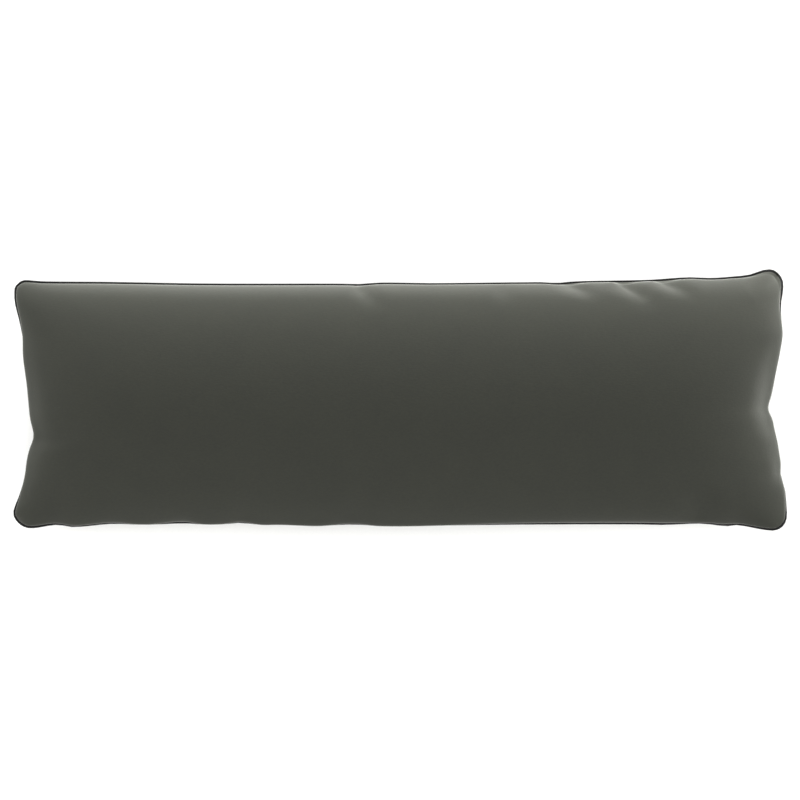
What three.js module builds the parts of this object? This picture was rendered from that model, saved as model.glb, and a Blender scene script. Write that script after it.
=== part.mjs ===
// Backrest cushion: a knife-edge cover, filled and piped along its one seam, lying on its back.
// Millimetres, +Z up. X runs along the cushion, Y runs up its face as it stands against a backrest.
// The origin is on the floor, under the middle of the cushion.
import * as THREE from "three";
import { ParametricGeometry } from "three/addons/geometries/ParametricGeometry.js";
import { mergeGeometries, mergeVertices } from "three/addons/utils/BufferGeometryUtils.js";

// Driving dimensions
const COVER_LENGTH = 1200; // the cover as it is sewn, laid flat, over its piping
const COVER_HEIGHT = 400;
const FRONT_CROWN = 74; // how far the middle of each face stands out from the seam
const BACK_CROWN = 74;
const SEAM_LEVEL = 64; // the seam above the floor, so the back is pressed flat by the difference
const PIPING_RADIUS = 1.5;
const PIPING_GAP = 0.4; // between the seam and its piping
const HIDING_TUCK = 2.2; // how far hidden piping lies inside the cushion's outline
const HIDING_NEST = 1.2; // how far the swelling faces hold hidden piping off the seam
const HIDING_DROP = 7; // how far the seam falls to the back where the face swells over it
const HIDING_SWELL = 8; // how far the faces swell out over hidden piping
const SWELL_AT = 0.16; // the share of the crown's height at which they swell most
const FLOOR_EASE = 14; // how softly the back leaves the floor at the rim of its flat
const REST_HOLLOW = 0.2; // how hollow the flat is between the four places that it rests on, so it can't rock
const REST_PLACE = { along: 0.7, up: 0.45 }; // those places, as shares of the half length and half height
const END_FULLNESS = 7; // exponents of the crown's section along the cushion and up it
const FACE_FULLNESS = 2.1;

// Panel mesh: columns along the cushion and rows up it, crowded towards the seam by these exponents
const PANEL_COLUMNS = 86;
const PANEL_ROWS = 34;
const COLUMN_CROWDING = 9;
const ROW_CROWDING = 5;
const PIPING_SIDES = 8;
const SEAM_STEPS = 2 * (PANEL_COLUMNS + PANEL_ROWS); // of the panels, round the seam
const WELD = 1e-3; // points of the two panels nearer than this are one

const COVER_CLOTH = { color: 0x4a4b46, roughness: 0.9, metalness: 0 };
const PIPING_CLOTH = { color: 0x1d1e1d, roughness: 0.8, metalness: 0 };

const PIPING_WIDTH = 2 * PIPING_RADIUS + PIPING_GAP;
const HALF_LENGTH = COVER_LENGTH / 2 - PIPING_WIDTH; // to the seam
const HALF_HEIGHT = COVER_HEIGHT / 2 - PIPING_WIDTH;

// The four edges of the filled cushion. at: place along the edge, out: how far the outline stands out
// from the flat cover (negative is drawn in), hides: 0 where the piping shows and 1 where the face hides it.
const TOP_EDGE = [
  { at: -600, out: -14, hides: 0.24 },
  { at: -582, out: -13.3, hides: 0.24 },
  { at: -555, out: -15.3, hides: 0.23 },
  { at: -450, out: -16.4, hides: 0.22 },
  { at: -300, out: -18.9, hides: 0.22 },
  { at: -90, out: -19.1, hides: 0.24 },
  { at: -64, out: -19.7, hides: 0.3 },
  { at: -30, out: -17.4, hides: 0.26 },
  { at: 50, out: -18.2, hides: 0.3 },
  { at: 222, out: -16.7, hides: 0.3 },
  { at: 243, out: -17.9, hides: 0.3 },
  { at: 274, out: -15.3, hides: 0.33 },
  { at: 385, out: -13, hides: 0.34 },
  { at: 447, out: -9, hides: 0.34 },
  { at: 484, out: -10, hides: 0.34 },
  { at: 522, out: -7.4, hides: 0.32 },
  { at: 546, out: -4.5, hides: 0.3 },
  { at: 571, out: 3.3, hides: 0.28 },
  { at: 600, out: 3.2, hides: 0.25 },
];
const BOTTOM_EDGE = [
  { at: -600, out: -2.6, hides: 0.25 },
  { at: -570, out: -0.9, hides: 0.27 },
  { at: -532, out: -6, hides: 0.5 },
  { at: -505, out: -2.5, hides: 0.6 },
  { at: -446, out: -7.6, hides: 0.5 },
  { at: -396, out: -5.9, hides: 0.8 },
  { at: -334, out: -8.6, hides: 0.3 },
  { at: -308, out: -6.7, hides: 0.8 },
  { at: -272, out: -6.9, hides: 0.8 },
  { at: -245, out: -9.2, hides: 0.5 },
  { at: -222, out: -6.2, hides: 0.8 },
  { at: -180, out: -6.2, hides: 0.9 },
  { at: -124, out: -4.4, hides: 0.9 },
  { at: -74, out: -6.5, hides: 0.55 },
  { at: -36, out: -4.5, hides: 0.9 },
  { at: 30, out: -4.3, hides: 0.9 },
  { at: 190, out: -6.5, hides: 0.42 },
  { at: 360, out: -7.1, hides: 0.28 },
  { at: 410, out: -6.3, hides: 0.28 },
  { at: 468, out: -7.9, hides: 0.6 },
  { at: 506, out: -4.4, hides: 0.3 },
  { at: 524, out: -5.8, hides: 0.48 },
  { at: 571, out: 2.4, hides: 0.5 },
  { at: 600, out: 2.4, hides: 0.6 },
];
const LEFT_EDGE = [
  { at: -200, out: 0.3, hides: 0.25 },
  { at: -176, out: 0.3, hides: 0.5 },
  { at: -149, out: -9, hides: 0.95 },
  { at: -118, out: -18, hides: 1 },
  { at: -102, out: -20.5, hides: 1 },
  { at: -79, out: -25.5, hides: 1 },
  { at: -55, out: -34, hides: 1 },
  { at: -33, out: -28.9, hides: 1 },
  { at: 22, out: -23, hides: 1 },
  { at: 68, out: -16.4, hides: 1 },
  { at: 98, out: -14.3, hides: 0.8 },
  { at: 122, out: -10.3, hides: 0.6 },
  { at: 161, out: -2, hides: 0.48 },
  { at: 200, out: -2.2, hides: 0.38 },
];
const RIGHT_EDGE = [
  { at: -200, out: 1.2, hides: 0.6 },
  { at: -176, out: 1.4, hides: 0.95 },
  { at: -141, out: -0.9, hides: 1 },
  { at: -122, out: -6.3, hides: 1 },
  { at: -110, out: -8.7, hides: 1 },
  { at: -101, out: -7.7, hides: 1 },
  { at: -48, out: -18.1, hides: 1 },
  { at: -25, out: -22.5, hides: 1 },
  { at: -12, out: -29.1, hides: 1 },
  { at: 4, out: -23.7, hides: 1 },
  { at: 45, out: -15.3, hides: 1 },
  { at: 91, out: -6.7, hides: 1 },
  { at: 105, out: -5.2, hides: 1 },
  { at: 146, out: -7.3, hides: 0.7 },
  { at: 172, out: -3.5, hides: 0.32 },
  { at: 200, out: -3.5, hides: 0.25 },
];

// The corners. end and side say which one it is, radius: its seam's, lift: how far it stands above the
// seam's level (negative is bent back).
const CORNERS = [
  { end: -1, side: 1, radius: 14, lift: -10 },
  { end: 1, side: 1, radius: 19, lift: -30 },
  { end: -1, side: -1, radius: 24, lift: -6 },
  { end: 1, side: -1, radius: 19, lift: 10 },
];

// Creases of the front panel, each a soft trough. x and y: where it starts by the seam, heading: its way
// across the face in degrees from +X, reach: its length, breadth: its half width.
const FRONT_CREASES = [
  { x: -64, y: 178, heading: -48, reach: 52, breadth: 11, depth: 3.5 },
  { x: 152, y: 180, heading: -60, reach: 40, breadth: 11, depth: 2 },
  { x: 246, y: 186, heading: -24, reach: 68, breadth: 10, depth: 4.5 },
  { x: 334, y: 188, heading: -34, reach: 76, breadth: 11, depth: 5 },
  { x: 398, y: 190, heading: -27, reach: 70, breadth: 10, depth: 4.5 },
  { x: 583, y: -52, heading: 93, reach: 150, breadth: 30, depth: 6 },
  { x: 592, y: -128, heading: 98, reach: 50, breadth: 8, depth: 3 },
  { x: -566, y: -58, heading: 8, reach: 80, breadth: 14, depth: 5 },
  { x: -241, y: -190, heading: 72, reach: 48, breadth: 14, depth: 3 },
  { x: -72, y: -191, heading: 96, reach: 44, breadth: 14, depth: 2.5 },
  { x: 464, y: -190, heading: 104, reach: 52, breadth: 14, depth: 3 },
];

// Exponents by which these fade from the edges into the face: an edge's own shape, a corner's lift, and the
// slant of the way into the cushion, in which a crease is pressed
const EDGE_FADE = { along: 10, up: 4 };
const LIFT_FADE = { along: 8, up: 4 };
const SLANT_FADE = { along: 5, up: 3 };
const CREASE_FADE = 0.6; // under 1, so a crease is deepest near its start
const CREASE_FULL_AT = 0.28; // the share of the crown's height from which it has its full depth

const clamp01 = (value) => THREE.MathUtils.clamp(value, 0, 1);

// A column of an edge's table at a place along the edge, on a smooth curve through its rows.
function alongEdge(edge, column, at) {
  const last = edge.length - 1;
  const next = edge.findIndex((row, i) => i > 0 && at <= row.at);
  const end = next < 0 ? last : next;
  const slope = (i) => {
    const before = edge[Math.max(i - 1, 0)];
    const after = edge[Math.min(i + 1, last)];
    return (after[column] - before[column]) / (after.at - before.at);
  };
  const from = edge[end - 1];
  const to = edge[end];
  const span = to.at - from.at;
  const t = clamp01((at - from.at) / span);
  const ease = t * t * (3 - 2 * t);
  return (
    from[column] * (1 - ease) +
    to[column] * ease +
    span * t * (1 - t) * ((1 - t) * slope(end - 1) - t * slope(end))
  );
}

// Even steps from -1 to 1, crowded towards both ends.
function crowd(step, exponent) {
  return (step * (exponent - Math.abs(step) ** (exponent - 1))) / (exponent - 1);
}

// Bends the square corners of the seam's rectangle into arcs.
function roundCorner(point) {
  const { radius } = CORNERS.find((c) => c.end * point.x >= 0 && c.side * point.y >= 0);
  const along = (Math.abs(point.x) - HALF_LENGTH) / radius + 1;
  const up = (Math.abs(point.y) - HALF_HEIGHT) / radius + 1;
  if (along <= 0 || up <= 0) return;
  point.x -= Math.sign(point.x) * radius * along * (1 - Math.sqrt(1 - (up * up) / 2));
  point.y -= Math.sign(point.y) * radius * up * (1 - Math.sqrt(1 - (along * along) / 2));
}

// How much the faces swell at a share of the crown's height: nothing at the seam, most at SWELL_AT.
function swellAt(rise) {
  const share = rise / SWELL_AT;
  return share * share * Math.exp(2 - 2 * share);
}

// How deep the front's creases are at a point of its plan.
function creaseDepth(x, y) {
  let depth = 0;
  for (const crease of FRONT_CREASES) {
    const heading = THREE.MathUtils.degToRad(crease.heading);
    const dx = x - crease.x;
    const dy = y - crease.y;
    const along = (dx * Math.cos(heading) + dy * Math.sin(heading)) / crease.reach;
    const aside = (dy * Math.cos(heading) - dx * Math.sin(heading)) / crease.breadth;
    const share = Math.sin(Math.PI * clamp01(along) ** CREASE_FADE);
    depth += crease.depth * share * Math.exp(-aside * aside);
  }
  return depth;
}

// What the nearest end and side of the cover do at a place of it: how far they move it and hide the piping.
function edgesAt(along, up) {
  const flat = new THREE.Vector3(HALF_LENGTH * along, HALF_HEIGHT * up, 0);
  roundCorner(flat);
  const end = along < 0 ? LEFT_EDGE : RIGHT_EDGE;
  const side = up < 0 ? BOTTOM_EDGE : TOP_EDGE;
  const endFade = Math.abs(along) ** EDGE_FADE.along;
  const sideFade = Math.abs(up) ** EDGE_FADE.up;
  const endHides = alongEdge(end, "hides", flat.y);
  const sideHides = alongEdge(side, "hides", flat.x);
  const endOut = endFade * (alongEdge(end, "out", flat.y) - HIDING_TUCK * endHides);
  const sideOut = sideFade * (alongEdge(side, "out", flat.x) - HIDING_TUCK * sideHides);
  const hides = Math.max(endHides * endFade, sideHides * sideFade);
  return { flat, endHides, sideHides, endOut, sideOut, hides };
}

// A point of a panel. along and up run from -1 to 1 between its edges, face is 1 on the front and -1 on
// the back, and both panels share the seam, where along or up is -1 or 1.
function panelPoint(along, up, face, target) {
  const edges = edgesAt(along, up);
  const endRise = Math.sqrt(1 - Math.abs(along) ** END_FULLNESS);
  const sideRise = Math.sqrt(1 - Math.abs(up) ** FACE_FULLNESS);
  const endSwell = HIDING_SWELL * edges.endHides * swellAt(endRise) * sideRise;
  const sideSwell = HIDING_SWELL * edges.sideHides * swellAt(sideRise) * endRise;
  target.copy(edges.flat);
  target.x += Math.sign(along) * (edges.endOut + endSwell);
  target.y += Math.sign(up) * (edges.sideOut + sideSwell);

  let level = SEAM_LEVEL - HIDING_DROP * edges.hides;
  for (const corner of CORNERS) {
    const nearEnd = Math.max(corner.end * along, 0) ** LIFT_FADE.along;
    const nearSide = Math.max(corner.side * up, 0) ** LIFT_FADE.up;
    level += corner.lift * nearEnd * nearSide;
  }
  const rise = endRise * sideRise;
  if (face > 0) {
    const depth = creaseDepth(target.x, target.y) * clamp01(rise / CREASE_FULL_AT);
    const inward = new THREE.Vector3(-(along ** SLANT_FADE.along), -(up ** SLANT_FADE.up), -1);
    target.z = level + FRONT_CROWN * rise;
    return target.addScaledVector(inward.normalize(), depth);
  }
  const clear = Math.max(level - BACK_CROWN * rise, 0);
  const hollow = clamp01(1 - ((along / REST_PLACE.along) * (up / REST_PLACE.up)) ** 2);
  target.z = ((clear * clear) / (clear + FLOOR_EASE)) * ((level + FLOOR_EASE) / level);
  target.z += REST_HOLLOW * rise * hollow;
  return target;
}

// One panel of the cover. The back's columns run the other way, so that it faces out too.
function panelGeometry(face) {
  const point = (u, v, target) => {
    const along = crowd(face * (2 * u - 1), COLUMN_CROWDING);
    const up = crowd(2 * v - 1, ROW_CROWDING);
    return panelPoint(along, up, face, target);
  };
  const panel = new ParametricGeometry(point, PANEL_COLUMNS, PANEL_ROWS);
  panel.deleteAttribute("normal");
  panel.deleteAttribute("uv");
  return panel;
}

// The filled cover: its front and back joined along the seam into one closed body.
function cushionGeometry() {
  const joined = mergeVertices(mergeGeometries([panelGeometry(1), panelGeometry(-1)]), WELD);
  joined.computeVertexNormals();
  return joined;
}

// A place on the seam, which t from 0 to 1 runs round once in the panels' own steps.
function seamPlace(t) {
  const half = SEAM_STEPS / 2;
  const step = THREE.MathUtils.euclideanModulo(t, 1) * SEAM_STEPS + PANEL_COLUMNS / 2;
  const turn = Math.floor(step / half) % 2 ? -1 : 1;
  const along = THREE.MathUtils.clamp((2 * (step % half)) / PANEL_COLUMNS - 1, -1, 1);
  const up = THREE.MathUtils.clamp((2 * ((step % half) - PANEL_COLUMNS)) / PANEL_ROWS - 1, -1, 1);
  return { along: turn * crowd(along, COLUMN_CROWDING), up: turn * crowd(up, ROW_CROWDING) };
}

function seamPoint(t, target) {
  const { along, up } = seamPlace(t);
  return panelPoint(along, up, 1, target);
}

// The middle of the piping, which lies outside the seam all the way round. Its direction at each step comes
// from the steps before and after, so it turns evenly round the corners.
class PipingLine extends THREE.Curve {
  getPoint(t, target = new THREE.Vector3()) {
    const { along, up } = seamPlace(t);
    const before = seamPoint(t - 1 / SEAM_STEPS, new THREE.Vector3());
    const after = seamPoint(t + 1 / SEAM_STEPS, new THREE.Vector3());
    const outward = new THREE.Vector3(after.y - before.y, before.x - after.x, 0);
    const standOff = PIPING_RADIUS + PIPING_GAP + HIDING_NEST * edgesAt(along, up).hides;
    return seamPoint(t, target).add(outward.setLength(standOff));
  }

  getTangent(t, target = new THREE.Vector3()) {
    const before = this.getPoint(t - 1 / SEAM_STEPS);
    return target.copy(this.getPoint(t + 1 / SEAM_STEPS)).sub(before).normalize();
  }

  getUtoTmapping(u) {
    return u;
  }
}

function pipingGeometry() {
  return new THREE.TubeGeometry(new PipingLine(), SEAM_STEPS, PIPING_RADIUS, PIPING_SIDES, true);
}

const cushion = new THREE.Mesh(cushionGeometry(), new THREE.MeshStandardMaterial(COVER_CLOTH));
cushion.name = "cushion";
const piping = new THREE.Mesh(pipingGeometry(), new THREE.MeshStandardMaterial(PIPING_CLOTH));
piping.name = "piping";

const backrestCushion = new THREE.Group();
backrestCushion.name = "backrest_cushion";
backrestCushion.add(cushion, piping);

// The outline isn't quite even, so it is moved to put its middle over the origin.
const middle = new THREE.Box3().setFromObject(backrestCushion).getCenter(new THREE.Vector3());
for (const mesh of [cushion, piping]) mesh.geometry.translate(-middle.x, -middle.y, 0);

export default backrestCushion;
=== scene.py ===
# Backrest cushion: a filled knife-edge cover of brushed microfibre with a piped seam, lying on its back.
# Metres, +Z up. The camera looks straight down on the face, as the photograph does.
import math
from collections import namedtuple

import bmesh
import bpy
from mathutils import Matrix, Vector
from mathutils.bvhtree import BVHTree
from mathutils.kdtree import KDTree


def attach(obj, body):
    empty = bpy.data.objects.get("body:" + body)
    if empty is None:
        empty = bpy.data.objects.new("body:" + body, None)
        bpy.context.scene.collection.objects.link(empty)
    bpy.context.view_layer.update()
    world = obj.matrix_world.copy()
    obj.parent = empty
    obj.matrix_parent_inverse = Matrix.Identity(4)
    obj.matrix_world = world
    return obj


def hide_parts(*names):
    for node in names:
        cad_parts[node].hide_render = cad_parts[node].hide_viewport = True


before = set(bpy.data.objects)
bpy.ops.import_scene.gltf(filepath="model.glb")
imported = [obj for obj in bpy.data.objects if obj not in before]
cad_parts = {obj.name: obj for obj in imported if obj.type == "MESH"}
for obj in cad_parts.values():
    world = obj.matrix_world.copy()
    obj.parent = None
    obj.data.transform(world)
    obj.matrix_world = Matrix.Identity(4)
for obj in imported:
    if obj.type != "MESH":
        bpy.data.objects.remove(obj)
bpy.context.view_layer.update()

MM = 0.001
UP = Vector((0, 0, 1))

# The cover's shape: how near two points are one, how near the middle of the piping the seam lies, how
# sharply two triangles may meet and still be joined, and how often points are moved to keep their places
WELD = 0.01 * MM
SEAM_REACH = 3.4 * MM
JOIN_ANGLE = math.radians(60)
KEEPING_ROUNDS = 4

# The cover's filling, by cloth simulation. The filling holds each point near its place: fully at the seam
# and where the cushion rests, firmly beside the seam, softly elsewhere. The moves are then evened.
FILL_FRAMES = 20
FILL_PRESSURE = 4
FILL_LIMIT = 22 * MM
FULL_HOLD = 1.0
FIRM_HOLD = 0.8
SOFT_HOLD = 0.5
FIRM_BREADTH = 30 * MM
RESTING_LEVEL = 0.5 * MM
SPARE_CLOTH = 0.004
CLOTH_STEPS = 6
CLOTH_MASS = 0.3
CLOTH_STRETCH = 15
CLOTH_SHEAR = 6
CLOTH_BEND = 4
EVENING_ROUNDS = 12

# Creases of the face, each a trough with a steep wall and an easy one, in millimetres and degrees: where it
# starts, its way across the face from +X, its length, the breadth of its two walls, and its depth. The last
# is a broad hollow at the raised corner.
Crease = namedtuple("Crease", "x y heading reach steep easy depth")
CREASES = [
    Crease(x=-76, y=184, heading=-45, reach=34, steep=5, easy=9, depth=1.0),
    Crease(x=246, y=187, heading=-24, reach=54, steep=6, easy=14, depth=2.1),
    Crease(x=332, y=189, heading=-34, reach=62, steep=6, easy=18, depth=2.9),
    Crease(x=392, y=191, heading=-25, reach=50, steep=6, easy=16, depth=2.6),
    Crease(x=594, y=199, heading=-134, reach=34, steep=4, easy=4, depth=0.6),
    Crease(x=606, y=204, heading=-146, reach=78, steep=26, easy=22, depth=4.0),
]
CREASE_SEAM_EASE = 6 * MM
# A crease is deepest about a third of the way along
CREASE_FADE = 0.6

# The piping, a bias strip over a thin cord: how far its inner side is tucked into the seam, and how far
# inside the seam the search for its place starts
PIPING_RADIUS = 1.5 * MM
PIPING_SIDES = 12
PIPING_TUCK = 0.8 * MM
PIPING_REACH = 4 * MM

# The photograph's frame, taken with a long lens
PIXEL = 1.55 * MM
FRAME_PIXELS = 800
SENSOR = 36
LENS = 250
SEAM_LEVEL = 64 * MM
CAMERA_Y = -0.4 * MM

# The studio, in metres and watts: the floor, the light all round, and strip lights that each stand at a
# place and face a point. The far ones stand low. The floor ones lie by the edges and shine up past them.
FLOOR_REACH = 12
LIGHT_ALL_ROUND = 1.7
MIDDLE = (0, 0, 0.1)
Strip = namedtuple("Strip", "name place aim size power")
STRIPS = [
    Strip("top_strip", place=(0.2, 3.0, 0.22), aim=MIDDLE, size=(3.6, 0.36), power=290),
    Strip("right_strip", place=(3.2, 0.3, 0.22), aim=MIDDLE, size=(2.4, 0.36), power=115),
    Strip("left_strip", place=(-3.2, -0.3, 0.22), aim=MIDDLE, size=(2.4, 0.36), power=35),
    Strip("bottom_strip", place=(0, -3.0, 0.22), aim=MIDDLE, size=(3.6, 0.36), power=8),
    Strip("top_floor_strip", place=(0.05, 0.29, 0.004), aim=(0.05, 0.28, 1), size=(1.5, 0.05), power=5.5),
    Strip("right_floor_strip", place=(0.69, 0.03, 0.004), aim=(0.68, 0.03, 1), size=(0.5, 0.05), power=1.7),
    Strip(
        "left_floor_strip", place=(-0.69, -0.05, 0.004), aim=(-0.68, -0.05, 1), size=(0.4, 0.05), power=0.3),
]

# Where a Mix node's two colours are among its inputs, and their blend among its outputs
MIX_FIRST = 6
MIX_SECOND = 7
MIX_RESULT = 2


def linear(colour):
    """A hex sRGB colour as linear red, green, blue and alpha."""
    channels = [int(colour[place:place + 2], 16) / 255 for place in (1, 3, 5)]
    return [c / 12.92 if c <= 0.04045 else ((c + 0.055) / 1.055) ** 2.4 for c in channels] + [1.0]


def add_node(tree, kind, inputs=(), **settings):
    """Adds a shader node. An input is given a value, or another node's output to link."""
    node = tree.nodes.new("ShaderNode" + kind)
    for name, value in settings.items():
        setattr(node, name, value)
    for name, value in dict(inputs).items():
        if isinstance(value, bpy.types.NodeSocket):
            tree.links.new(value, node.inputs[name])
        else:
            node.inputs[name].default_value = value
    return node


def new_material(name):
    """An empty material and its node tree."""
    material = bpy.data.materials.new(name)
    material.use_nodes = True
    material.node_tree.nodes.clear()
    return material, material.node_tree


def brushed_microfibre():
    """Polyester microfibre, woven tight and brushed to a short nap: dark and dull looked at straight, and
    pale where the nap is seen from the side, with faint clouds where the nap lies differently."""
    material, tree = new_material("brushed_microfibre")
    place = add_node(tree, "TexCoord").outputs["Object"]
    cloud_size = 55 * MM
    clouds = add_node(tree, "TexNoise", {"Vector": place, "Scale": 1 / cloud_size, "Detail": 3.0})
    # The nap's fibres are finer than a pixel, so its grain is drawn about four times as coarse.
    grain_size = 2.2 * MM
    # It is brushed along X, so the grain is longer that way.
    brushing = (0.45, 1, 1)
    grain_way = add_node(tree, "Mapping", {"Vector": place, "Scale": brushing})
    grain = add_node(
        tree, "TexNoise",
        {"Vector": grain_way.outputs["Vector"], "Scale": 1 / grain_size, "Detail": 2.0})
    lie = add_node(
        tree, "MapRange",
        {"Value": clouds.outputs["Fac"], "From Min": 0.35, "From Max": 0.65, "To Min": 0.42, "To Max": 0.58})
    speck = add_node(
        tree, "MapRange",
        {"Value": grain.outputs["Fac"], "From Min": 0.3, "From Max": 0.7, "To Min": -0.2, "To Max": 0.2})
    tone = add_node(tree, "Math", {0: lie.outputs["Result"], 1: speck.outputs["Result"]}, operation="ADD")
    colour = add_node(
        tree, "Mix",
        {"Factor": tone.outputs["Value"], MIX_FIRST: linear("#272824"), MIX_SECOND: linear("#2d2e28")},
        data_type="RGBA")
    nap = add_node(
        tree, "Bump", {"Height": grain.outputs["Fac"], "Strength": 0.25, "Distance": 0.5 * MM})
    cloth = add_node(
        tree, "BsdfPrincipled",
        {"Base Color": colour.outputs[MIX_RESULT], "Roughness": 0.9, "IOR": 1.45, "Specular IOR Level": 0.2,
         "Sheen Weight": 0.55, "Sheen Roughness": 0.3, "Sheen Tint": linear("#cacbc7"),
         "Normal": nap.outputs["Normal"]})
    add_node(tree, "OutputMaterial", {"Surface": cloth.outputs["BSDF"]})
    return material


def black_bias_cotton():
    """Cotton cut on the bias over a cord: flat black, with the weave slanting round it."""
    material, tree = new_material("black_bias_cotton")
    place = add_node(tree, "TexCoord").outputs["UV"]
    slant = add_node(tree, "Mapping", {"Vector": place, "Rotation": (0, 0, math.radians(45))})
    # The threads are 0.3 mm apart, too fine to show, so they are drawn 1 mm apart.
    thread_pitch = 1 * MM
    # A wave texture turns by this many radians for each unit of its scale.
    wave_turn = 20
    weave_scale = 2 * math.pi / wave_turn / thread_pitch
    weave = add_node(
        tree, "TexWave", {"Vector": slant.outputs["Vector"], "Scale": weave_scale, "Distortion": 0.6},
        wave_type="BANDS", bands_direction="X")
    colour = add_node(
        tree, "Mix",
        {"Factor": weave.outputs["Fac"], MIX_FIRST: linear("#0f0f0f"), MIX_SECOND: linear("#1b1b1a")},
        data_type="RGBA")
    threads = add_node(
        tree, "Bump", {"Height": weave.outputs["Fac"], "Strength": 0.4, "Distance": 0.2 * MM})
    cloth = add_node(
        tree, "BsdfPrincipled",
        {"Base Color": colour.outputs[MIX_RESULT], "Roughness": 0.85, "IOR": 1.45,
         "Specular IOR Level": 0.25, "Sheen Weight": 0.05, "Sheen Roughness": 0.5,
         "Normal": threads.outputs["Normal"]})
    add_node(tree, "OutputMaterial", {"Surface": cloth.outputs["BSDF"]})
    return material


def background_paper():
    """White background paper: matt, with a trace of tooth."""
    material, tree = new_material("background_paper")
    place = add_node(tree, "TexCoord").outputs["Object"]
    tooth_size = 4 * MM
    tooth = add_node(tree, "TexNoise", {"Vector": place, "Scale": 1 / tooth_size, "Detail": 2.0})
    colour = add_node(
        tree, "Mix",
        {"Factor": tooth.outputs["Fac"], MIX_FIRST: linear("#f1f1ef"), MIX_SECOND: linear("#f6f6f4")},
        data_type="RGBA")
    paper = add_node(tree, "BsdfPrincipled", {"Base Color": colour.outputs[MIX_RESULT], "Roughness": 0.95})
    add_node(tree, "OutputMaterial", {"Surface": paper.outputs["BSDF"]})
    return material


def merged_copy(node):
    """A CAD node's mesh with its loose triangles joined."""
    bm = bmesh.new()
    bm.from_mesh(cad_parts[node].data)
    bmesh.ops.remove_doubles(bm, verts=bm.verts, dist=WELD)
    bm.verts.index_update()
    bm.verts.ensure_lookup_table()
    return bm


def mark_seam(cover, piping):
    """Marks and creases the edges where front and back are sewn. Of the cover's points near the piping, they
    join those most level with its middle."""
    points = KDTree(len(cover.verts))
    for vert in cover.verts:
        points.insert(vert.co, vert.index)
    points.balance()
    piping.normal_update()
    sewn = set()
    for vert in piping.verts:
        middle = vert.co - vert.normal * PIPING_RADIUS
        near = points.find_range(middle, SEAM_REACH)
        place = min(near, key=lambda found: abs(found[0].z - middle.z))[1]
        sewn.add(cover.verts[place])
    for edge in cover.edges:
        edge.seam = sewn.issuperset(edge.verts)
    for face in cover.faces:
        if all(edge.seam for edge in face.edges):
            max(face.edges, key=lambda edge: edge.calc_length()).seam = False
    crease = cover.edges.layers.float.new("crease_edge")
    for edge in cover.edges:
        edge[crease] = float(edge.seam)


def evaluated_mesh(piece):
    """A copy of a piece's mesh with its modifiers applied."""
    graph = bpy.context.evaluated_depsgraph_get()
    return bpy.data.meshes.new_from_object(piece.evaluated_get(graph))


def apply_modifiers(piece):
    """Makes a piece's modifiers part of its mesh."""
    mesh = evaluated_mesh(piece)
    piece.modifiers.clear()
    piece.data = mesh


def subdivide(piece, keep_points):
    """Divides each face of a piece once, smoothly. Smoothing draws a curved surface in, so where its points
    are to be kept, they are first moved out until the smooth surface passes through their places."""
    finer = piece.modifiers.new("finer", "SUBSURF")
    finer.levels = 1
    finer.render_levels = 1
    places = [vert.co.copy() for vert in piece.data.vertices]
    for _ in range(KEEPING_ROUNDS if keep_points else 0):
        smooth = evaluated_mesh(piece)
        for vert, place, drawn_in in zip(piece.data.vertices, places, smooth.vertices):
            vert.co += place - drawn_in.co
        piece.data.update()
        bpy.data.meshes.remove(smooth)
    apply_modifiers(piece)


def sewn_points(mesh):
    """The seam's points in order, once round the cushion, anticlockwise seen from above."""
    beside = {}
    for edge in mesh.edges:
        if edge.use_seam:
            for here, there in (edge.vertices, reversed(edge.vertices)):
                beside.setdefault(here, []).append(there)
    first = min(beside)
    loop = [first, beside[first][0]]
    while len(loop) < len(beside):
        loop.append(next(there for there in beside[loop[-1]] if there != loop[-2]))
    points = [mesh.vertices[place].co.copy() for place in loop]
    turning = sum(here.cross(there).z for here, there in zip(points, points[1:] + points[:1]))
    return points if turning > 0 else points[::-1]


def seam_distance(mesh):
    """A search for the nearest point of the seam."""
    seam = sewn_points(mesh)
    nearest = KDTree(len(seam))
    for place, point in enumerate(seam):
        nearest.insert(point, place)
    nearest.balance()
    return nearest


def evened(mesh, moves):
    """The moves of a mesh's points, each averaged with those beside it, so that the cloth is taut."""
    beside = [[] for _ in moves]
    for edge in mesh.edges:
        here, there = edge.vertices
        beside[here].append(there)
        beside[there].append(here)
    for _ in range(EVENING_ROUNDS):
        moves = [
            sum((moves[there] for there in near), move) / (len(near) + 1)
            for near, move in zip(beside, moves)]
    return moves


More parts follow.
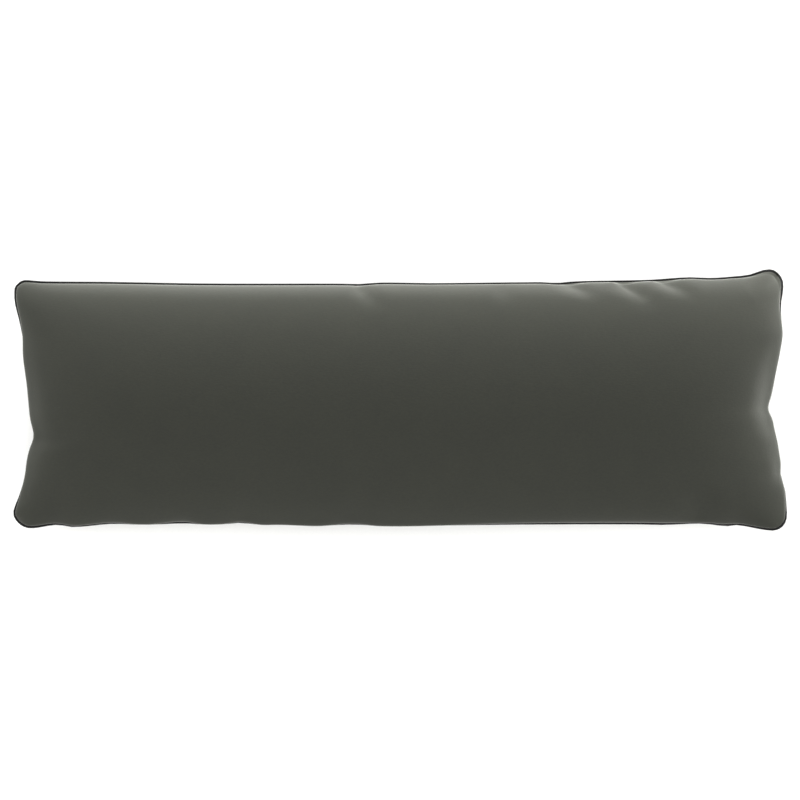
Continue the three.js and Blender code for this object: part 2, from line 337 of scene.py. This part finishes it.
def fill(cover):
    """Fills the cover: a little spare cloth blown out by pressure, while the filling holds it in shape."""
    start = [vert.co.copy() for vert in cover.data.vertices]
    seam = seam_distance(cover.data)
    group = cover.vertex_groups.new(name="held")
    holds = []
    for place, point in enumerate(start):
        away = seam.find(point)[2]
        hold = SOFT_HOLD + (FIRM_HOLD - SOFT_HOLD) * math.exp(-((away / FIRM_BREADTH) ** 2))
        if away < WELD or point.z < RESTING_LEVEL:
            hold = FULL_HOLD
        holds.append(hold)
        group.add([place], hold, "REPLACE")
    cloth = cover.modifiers.new("filling", "CLOTH")
    cloth.collision_settings.use_collision = False
    cloth.settings.vertex_group_mass = group.name
    cloth.settings.pin_stiffness = 1.0
    cloth.settings.quality = CLOTH_STEPS
    cloth.settings.mass = CLOTH_MASS
    cloth.settings.tension_stiffness = CLOTH_STRETCH
    cloth.settings.compression_stiffness = CLOTH_STRETCH
    cloth.settings.shear_stiffness = CLOTH_SHEAR
    cloth.settings.bending_stiffness = CLOTH_BEND
    cloth.settings.use_pressure = True
    cloth.settings.uniform_pressure_force = FILL_PRESSURE
    cloth.settings.shrink_min = -SPARE_CLOTH
    cloth.settings.effector_weights.gravity = 0
    cloth.point_cache.frame_start = 1
    cloth.point_cache.frame_end = FILL_FRAMES
    for step in range(1, FILL_FRAMES + 1):
        bpy.context.scene.frame_set(step)
    apply_modifiers(cover)
    cover.vertex_groups.clear()
    moves = evened(cover.data, [vert.co - from_here for vert, from_here in zip(cover.data.vertices, start)])
    for vert, from_here, hold, move in zip(cover.data.vertices, start, holds, moves):
        if hold == FULL_HOLD:
            move = Vector()
        elif move.length > FILL_LIMIT:
            move.length = FILL_LIMIT
        vert.co = from_here + move


def crease_depth(x, y):
    """How deep the creases are at a point of the face."""
    depth = 0
    for crease in CREASES:
        heading = math.radians(crease.heading)
        to_x = x - crease.x * MM
        to_y = y - crease.y * MM
        along = (to_x * math.cos(heading) + to_y * math.sin(heading)) / (crease.reach * MM)
        aside = (to_y * math.cos(heading) - to_x * math.sin(heading)) / MM
        breadth = crease.steep if aside < 0 else crease.easy
        share = math.sin(math.pi * min(max(along, 0), 1) ** CREASE_FADE)
        depth += crease.depth * MM * share * math.exp(-((aside / breadth) ** 2))
    return depth


def press_creases(cover):
    """Presses the creases into the face."""
    seam = seam_distance(cover.data)
    ways = [vert.normal.copy() for vert in cover.data.vertices]
    for vert, way in zip(cover.data.vertices, ways):
        if way.z > 0:
            ease = min(seam.find(vert.co)[2] / CREASE_SEAM_EASE, 1)
            vert.co -= way * crease_depth(vert.co.x, vert.co.y) * ease


def make_cover():
    """The filled cover."""
    shape = merged_copy("cushion")
    piping = merged_copy("piping")
    mark_seam(shape, piping)
    bmesh.ops.join_triangles(
        shape, faces=shape.faces, cmp_seam=True,
        angle_face_threshold=JOIN_ANGLE, angle_shape_threshold=JOIN_ANGLE)
    mesh = bpy.data.meshes.new("cushion_cover")
    shape.to_mesh(mesh)
    shape.free()
    piping.free()
    cover = bpy.data.objects.new("cushion_cover", mesh)
    bpy.context.scene.collection.objects.link(cover)
    subdivide(cover, keep_points=True)
    fill(cover)
    subdivide(cover, keep_points=False)
    press_creases(cover)
    for vert in cover.data.vertices:
        vert.co.z = max(vert.co.z, 0)
    cover.data.polygons.foreach_set("use_smooth", [True] * len(cover.data.polygons))
    cover.data.materials.append(brushed_microfibre())
    return cover


def unroll(bm, rings):
    """Maps the weave of the piping: how far along the seam and how far round its cord it is, in metres."""
    middles = [sum((vert.co for vert in ring), Vector()) / len(ring) for ring in rings]
    run = [0.0]
    for here, there in zip(middles, middles[1:] + middles[:1]):
        run.append(run[-1] + (there - here).length)
    breadth = 2 * math.pi * PIPING_RADIUS / PIPING_SIDES
    where = {vert: (place, side) for place, ring in enumerate(rings) for side, vert in enumerate(ring)}
    unrolled = bm.loops.layers.uv.new("unrolled")
    for face in bm.faces:
        last_place = max(where[loop.vert][0] for loop in face.loops)
        last_side = max(where[loop.vert][1] for loop in face.loops)
        for loop in face.loops:
            place, side = where[loop.vert]
            # The faces that close the rings or their row run on to one past the last.
            if last_place - place > 1:
                place += len(rings)
            if last_side - side > 1:
                side += PIPING_SIDES
            loop[unrolled].uv = (run[place], side * breadth)


def make_piping(cover):
    """The piping all along the seam: rings with their inner side drawn into it, joined one to the next."""
    seam = sewn_points(cover.data)
    solid = merged_copy("piping")
    walls = BVHTree.FromBMesh(solid)
    solid.free()
    bm = bmesh.new()
    rings = []
    for place, here in enumerate(seam):
        ahead = seam[(place + 1) % len(seam)] - seam[place - 1]
        outward = ahead.cross(UP).normalized()
        wall = walls.ray_cast(here - outward * PIPING_REACH, outward)[0]
        middle = wall + outward * PIPING_RADIUS
        turn = Matrix((outward, UP, outward.cross(UP))).transposed().to_4x4()
        stand = Matrix.Translation(middle) @ turn
        ring = bmesh.ops.create_circle(
            bm, segments=PIPING_SIDES, radius=PIPING_RADIUS, matrix=stand)["verts"]
        inmost = min(ring, key=lambda vert: (vert.co - here).length)
        inmost.co = here - outward * PIPING_TUCK
        rings.append(ring)
    hoops = [list(dict.fromkeys(edge for vert in ring for edge in vert.link_edges)) for ring in rings]
    for place, hoop in enumerate(hoops):
        bmesh.ops.bridge_loops(bm, edges=hoops[place - 1] + hoop)
    bmesh.ops.recalc_face_normals(bm, faces=bm.faces)
    unroll(bm, rings)
    mesh = bpy.data.meshes.new("seam_piping")
    bm.to_mesh(mesh)
    bm.free()
    piping = bpy.data.objects.new("seam_piping", mesh)
    bpy.context.scene.collection.objects.link(piping)
    mesh.polygons.foreach_set("use_smooth", [True] * len(mesh.polygons))
    mesh.materials.append(black_bias_cotton())
    return piping


def make_stage():
    """A pale floor."""
    bm = bmesh.new()
    bmesh.ops.create_grid(bm, x_segments=1, y_segments=1, size=FLOOR_REACH)
    mesh = bpy.data.meshes.new("floor")
    bm.to_mesh(mesh)
    bm.free()
    floor = bpy.data.objects.new("floor", mesh)
    bpy.context.scene.collection.objects.link(floor)
    mesh.materials.append(background_paper())


def add_strip_light(strip):
    """A long soft strip light that stands at a place and faces a point."""
    light = bpy.data.lights.new(strip.name, "AREA")
    light.shape = "RECTANGLE"
    light.size, light.size_y = strip.size
    light.energy = strip.power
    stand = bpy.data.objects.new(strip.name, light)
    stand.location = strip.place
    stand.rotation_euler = (Vector(strip.aim) - Vector(strip.place)).to_track_quat("-Z", "Y").to_euler()
    stand.visible_camera = False
    bpy.context.scene.collection.objects.link(stand)


def light_stage():
    """Even white light all round and the strip lights, strongest at the top and weakest at the bottom, which
    make the rims pale as a lit background does."""
    world = bpy.data.worlds.new("studio")
    world.use_nodes = True
    around = world.node_tree.nodes["Background"]
    around.inputs["Color"].default_value = linear("#ffffff")
    around.inputs["Strength"].default_value = LIGHT_ALL_ROUND
    bpy.context.scene.world = world
    for strip in STRIPS:
        add_strip_light(strip)
    bpy.context.scene.view_settings.view_transform = "Standard"


def aim_camera():
    """Straight over the cushion, at the photograph's scale on the plane of the seam."""
    lens = bpy.data.cameras.new("camera")
    lens.lens = LENS
    lens.sensor_width = SENSOR
    camera = bpy.data.objects.new("camera", lens)
    camera.location.y = CAMERA_Y
    camera.location.z = SEAM_LEVEL + PIXEL * FRAME_PIXELS * LENS / SENSOR
    bpy.context.scene.collection.objects.link(camera)
    bpy.context.scene.camera = camera


cushion_cover = make_cover()
seam_piping = make_piping(cushion_cover)
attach(cushion_cover, "root")
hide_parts("cushion")
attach(seam_piping, "root")
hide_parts("piping")
make_stage()
light_stage()
aim_camera()
